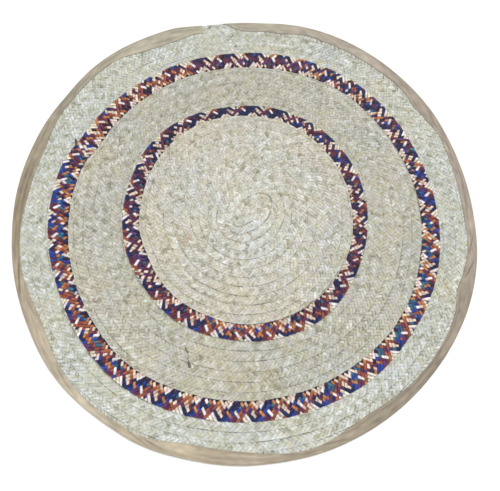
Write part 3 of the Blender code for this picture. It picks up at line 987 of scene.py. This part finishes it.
binding = {
    "from": 263.2,
    "to": 617.6,
    "step": 0.25,
    "lowHeight": 0.00023,
    "topHeight": 0.0031,
    "cloth": 0.0004,
    "rowsUnder": 4,
    "rowsFold": 6,
    "rowsTop": 16,
    "tuck": 0.0006,
    "cutEnd": 2.3,
    "cutFade": 6.0,
    "foldInset": 0.0002,
    "hem": 0.985,
    "wrinkle": 0.00022,
    "fineRipple": (55, 160, 3.1),  # waves along and across the cloth, and a seed
    "broadRipple": (16, 45, 8.4),
    "swell": 0.00018,
    "deepestDip": 0.00025,
    "settleFrom": 8,  # an eighth of the width from the fold the cloth is free to wrinkle
    "endHeld": 0.2,  # how free the cloth is at its two ends, and how much freer with each degree
    "endFreer": 0.7,
    "restClear": 0.0003,
    "plaitReach": 0.003,  # the plait's height is taken this near to the upper edge
    "plaitStep": 4.0,
    "plaitTopShare": 90,
    # painted shade baked into the cloth's colour: lighter on ripple crests, darker in troughs and creases,
    # along the hem and by the fold
    "rippleShade": 0.24,
    "creaseShade": 640,  # painted shade for each metre of crease depth
    "rimShade": 0.12,
    "rimFrom": 9,  # the painted shade along the hem covers a ninth of the width
    "foldShade": 0.14,
    "foldReach": 0.12,
    "width": 0.039,
}

creaseForm = {
    "breadth": 1.25,
    "depth": 0.7,
    "runOut": 3,  # degrees looked at beyond each end
    "taperFrom": 0.06,
    "taperBy": 0.88,
}

# creases of the cloth: where each starts and ends, as an angle and a share of the width from the outer edge,
# and its depth and breadth in millimetres
creases = [
    (5, 0.4, 9.8, 0.86, 0.9, 1.1), (1, 0.75, 11, 0.45, 0.3, 1.6), (11.5, 0.3, 16.5, 0.8, 0.8, 1.2),
    (18, 0.8, 36, 0.7, 0.4, 1.6), (30, 0.8, 66, 0.72, 0.45, 1.8), (36, 0.2, 62, 0.28, 0.3, 2.0),
    (63, 0.6, 68, 0.95, 0.5, 1.4), (66, 0.15, 72, 0.9, 0.6, 1.8), (70, 0.05, 77, 0.8, 0.5, 1.6),
    (74, 0.3, 82, 0.9, 0.4, 1.4), (84, 0.86, 101, 0.93, 0.4, 1.6), (78, 0.45, 104, 0.4, 0.3, 2.2),
    (96, 0.1, 114, 0.3, 0.3, 1.8), (108, 0.2, 114, 0.9, 0.6, 1.6), (112, 0.25, 117, 0.95, 0.6, 1.6),
    (119, 0.6, 128, 0.85, 0.3, 1.6), (131, 0.3, 140, 0.85, 0.5, 1.6), (137, 0.2, 152, 0.45, 0.35, 1.8),
    (150, 0.9, 160, 0.5, 0.3, 1.6), (158.5, 0.08, 168.5, 0.92, 1.0, 1.3), (168, 0.3, 178, 0.5, 0.5, 1.6),
    (170, 0.85, 196, 0.6, 0.5, 1.8), (178, 0.25, 206, 0.4, 0.5, 2.0), (184, 0.7, 204, 0.9, 0.4, 1.6),
    (203, 0.55, 213, 0.9, 0.3, 1.6), (214, 0.4, 224, 0.6, 0.25, 1.8), (226, 0.5, 238, 0.35, 0.3, 2.0),
    (238, 0.6, 250, 0.75, 0.3, 2.0), (248, 0.3, 256, 0.5, 0.3, 1.8), (267, 0.6, 276, 0.8, 0.3, 1.6),
    (276, 0.85, 282, 0.98, 0.4, 1.4), (285, 0.9, 291, 0.96, 0.5, 1.6), (298, 0.88, 303, 0.95, 0.45, 1.6),
    (312, 0.9, 319, 0.96, 0.45, 1.6), (322, 0.75, 330, 0.9, 0.4, 1.4), (326, 0.2, 338, 0.8, 0.5, 1.6),
    (332, 0.1, 346, 0.85, 0.5, 1.6), (342, 0.15, 358, 0.7, 0.45, 1.6), (350, 0.3, 364, 0.85, 0.45, 1.6),
]

clothTones = [
    (0, "A39788"), (30, "9A8E7F"), (60, "968B79"), (80, "A79B87"), (100, "AEA18B"), (125, "B7AC96"),
    (148, "B4A793"), (168, "9F927C"), (180, "93866F"), (197, "9D927C"), (212, "9A9180"), (228, "A9A18D"),
    (242, "ACA593"), (258, "A9A390"), (275, "AAA191"), (300, "A99E90"), (330, "A5998A"), (345, "AA9E90"),
    (360, "A39788"),
]


clothFinish = {
    "roughness": 0.95,
    "sheen": 0.15,
    "thread": 0.0011,
    "slubScale": (60.0, 420.0, 1.0),
    "slubShade": (0.68, 1.32),
    "weaveShade": 0.05,
    "weaveBump": 0.35,
}


def clothMaterial():
    # plain woven cotton, dyed tan and faded: fine threads, no gloss; its tone comes with painted shade in the
    # creases, on the ripples, along the hem and by the fold
    material, tree, shader = newMaterial("wovenCottonFaded")
    shader.inputs["Roughness"].default_value = clothFinish["roughness"]
    shader.inputs["Sheen Weight"].default_value = clothFinish["sheen"]
    place = addNode(tree, attribute, {"attribute_name": "clothPlace"})
    parts = addNode(tree, "ShaderNodeSeparateXYZ", {}, {0: place.outputs["Vector"]})
    threads = []
    for axis in (0, 1):
        turned = addNode(tree, maths, "MULTIPLY", (parts.outputs[axis], 2 * math.pi / clothFinish["thread"]))
        threads.append(addNode(tree, maths, "SINE", {0: turned}))
    weave = addNode(tree, maths, "MULTIPLY", (threads[0], threads[1]))
    tone = addNode(tree, attribute, {"attribute_name": "clothToneAndShade"}).outputs["Color"]
    slub = addNode(tree, vectorMaths, "MULTIPLY", (place.outputs["Vector"], clothFinish["slubScale"]))
    slub = addNode(tree, noiseTexture, {}, {"Vector": slub, "Scale": 1.0, "Detail": 3.0})
    least, most = clothFinish["slubShade"]
    shade = addNode(tree, mapRange, {}, {"Value": slub, "To Min": least, "To Max": most})
    faint = addNode(tree, maths, "MULTIPLY_ADD", (weave, clothFinish["weaveShade"], 1.0))
    shade = addNode(tree, maths, "MULTIPLY", (shade, faint))
    mixed = addNode(tree, vectorMaths, "SCALE", {0: tone, "Scale": shade.outputs[0]})
    tree.links.new(mixed.outputs[0], shader.inputs["Base Color"])
    bump = addNode(tree, "ShaderNodeBump", {},
                   {"Height": weave, "Strength": clothFinish["weaveBump"], "Distance": 0.0002})
    tree.links.new(bump.outputs[0], shader.inputs["Normal"])
    return material


def creaseDepth(angle, share, radius, width):
    # how deep the creases are at a point of the upper side, in metres
    deepest = 0.0
    scale = math.radians(1.0) * radius * 1000
    for fromAngle, fromShare, toAngle, toShare, depth, breadth in creases:
        lowEnd, highEnd = fromAngle - creaseForm["runOut"], toAngle + creaseForm["runOut"]
        turned = angle % 360.0
        if turned < lowEnd:
            turned += 360.0
        if not lowEnd <= turned <= highEnd:
            continue
        length = (toAngle - fromAngle) * scale
        rise = (toShare - fromShare) * width * 1000
        x, y = (turned - fromAngle) * scale, (share - fromShare) * width * 1000
        along = min(1.0, max(0.0, (x * length + y * rise) / (length ** 2 + rise ** 2)))
        away = math.hypot(x - along * length, y - along * rise) / (creaseForm["breadth"] * breadth)
        taper = math.sin(math.pi * (creaseForm["taperFrom"] + creaseForm["taperBy"] * along)) ** 0.5
        deepest = max(deepest, depth * taper * math.exp(-away ** 2))
    return deepest / 1000


def bindingSection(outer, under, inner):
    # radius, height and share across the upper side, from the hidden edge round the fold to the upper edge
    low, top = binding["lowHeight"], binding["topHeight"]
    bend = (top - low) / 2
    turnIn = outer - bend
    section = []
    for k in range(binding["rowsUnder"]):
        section.append((under + (turnIn - under) * k / binding["rowsUnder"], low, None))
    for k in range(binding["rowsFold"]):
        turn = math.pi * k / binding["rowsFold"]
        radius = turnIn + (bend - binding["foldInset"]) * math.sin(turn)
        section.append((radius, (low + top) / 2 - bend * math.cos(turn), None))
    for share in [k / binding["rowsTop"] for k in range(binding["rowsTop"])] + [binding["hem"], 1.0]:
        section.append((turnIn - (turnIn - inner) * share, top, share))
    section.append((inner, top - binding["tuck"], 1.0))
    return section


def plaitTop(piece):
    # how high the plait stands along the upper edge of the binding
    points = readAll(piece.data.vertices, "co", each=3).reshape(-1, 3)
    angles, radii = polar(points)
    near = np.abs(radii - bindingInner(angles)) < binding["plaitReach"]
    columns = np.arange(0.0, 360.0, binding["plaitStep"])
    tops = []
    for column in columns:
        away = np.abs((angles - column + 180.0) % 360.0 - 180.0)
        tops.append(np.percentile(points[near & (away < binding["plaitStep"]), 2], binding["plaitTopShare"]))
    return lambda angle: np.interp(angle % 360.0, columns, tops, period=360.0)


def ripples(along, across):
    return sum(noise.noise((along * waves, across * rows, seed))
               for waves, rows, seed in (binding["fineRipple"], binding["broadRipple"]))


def makeBinding():
    angles = np.arange(binding["from"], binding["to"] + 0.01, binding["step"])
    restsAt = plaitTop(bpy.data.objects["outer_coil_plait"])
    toneAngles = [angle for angle, code in clothTones]
    tones = np.array([linearColour(code)[:3] for angle, code in clothTones])
    points, places, colours = [], [], []
    walked = 0.0
    for angle in angles:
        outer, inner = boundOutline(angle), bindingInner(angle)
        section = bindingSection(outer, bindingUnder(angle), inner)
        walked += math.radians(binding["step"]) * outer
        cut = max(0.0, 1.0 - (angle - binding["from"]) / binding["cutFade"]) * binding["cutEnd"]
        ends = min(angle - binding["from"], binding["to"] - angle)
        free = min(1.0, ends * binding["endFreer"] + binding["endHeld"])
        sunk = max(0.0, binding["topHeight"] - restsAt(angle) - binding["restClear"])
        base = np.array([np.interp(angle % 360.0, toneAngles, tones[:, c]) for c in range(3)])
        reached = 0.0
        last = section[0]
        for radius, height, share in section:
            reached += math.hypot(radius - last[0], height - last[1])
            last = (radius, height)
            turned, shade = angle, 1.0
            if share is not None:
                turned += cut * share
                crease = creaseDepth(angle, share, radius, outer - inner)
                floor = height - binding["deepestDip"]
                ripple = ripples(walked, reached)
                settle = min(1.0, share * binding["settleFrom"]) * free
                wave = binding["wrinkle"] * ripple - crease * creaseForm["depth"] + binding["swell"]
                height = max(height + wave * settle, floor) - sunk * share ** 2
                # painted shade: darker in creases, ripple troughs, along the hem and near the fold; lighter
                # on ripple crests
                rimPaintedShade = max(0.0, 1.0 - (1.0 - share) * binding["rimFrom"])
                fold = math.exp(-(share / binding["foldReach"]) ** 2)
                shade = (1.0 - binding["creaseShade"] * crease) * (1.0 + binding["rippleShade"] * ripple)
                shade *= (1.0 - binding["rimShade"] * rimPaintedShade) * (1.0 - binding["foldShade"] * fold)
            points.append((*spot(turned, radius), height))
            places.append((walked, reached, 0.0))
            colours.append((*(base * shade), 1.0))
    count = len(section)
    faces = []
    for ring in range(len(angles) - 1):
        for first in range(ring * count, ring * count + count - 1):
            faces.append((first, first + count, first + count + 1, first + 1))
    mesh = bpy.data.meshes.new("edge_binding_cloth")
    mesh.from_pydata(points, [], faces)
    for label, kind, field, values in (("clothPlace", "FLOAT_VECTOR", "vector", places),
                                       ("clothToneAndShade", "FLOAT_COLOR", "color", colours)):
        mesh.attributes.new(label, kind, "POINT").data.foreach_set(field, np.ravel(values))
    builder = bmesh.new()
    builder.from_mesh(mesh)
    bmesh.ops.recalc_face_normals(builder, faces=builder.faces)
    builder.to_mesh(mesh)
    builder.free()
    mesh.shade_smooth()
    mesh.materials.append(clothMaterial())
    piece = bpy.data.objects.new("edge_binding_cloth", mesh)
    bpy.context.scene.collection.objects.link(piece)
    solidify = piece.modifiers.new("thickness", "SOLIDIFY")
    solidify.thickness = binding["cloth"]
    solidify.offset = 0.0
    declare(piece, "edge_binding")
    print(f"binding: strip {walked:.2f} m long, {len(faces)} faces")


makeBinding()
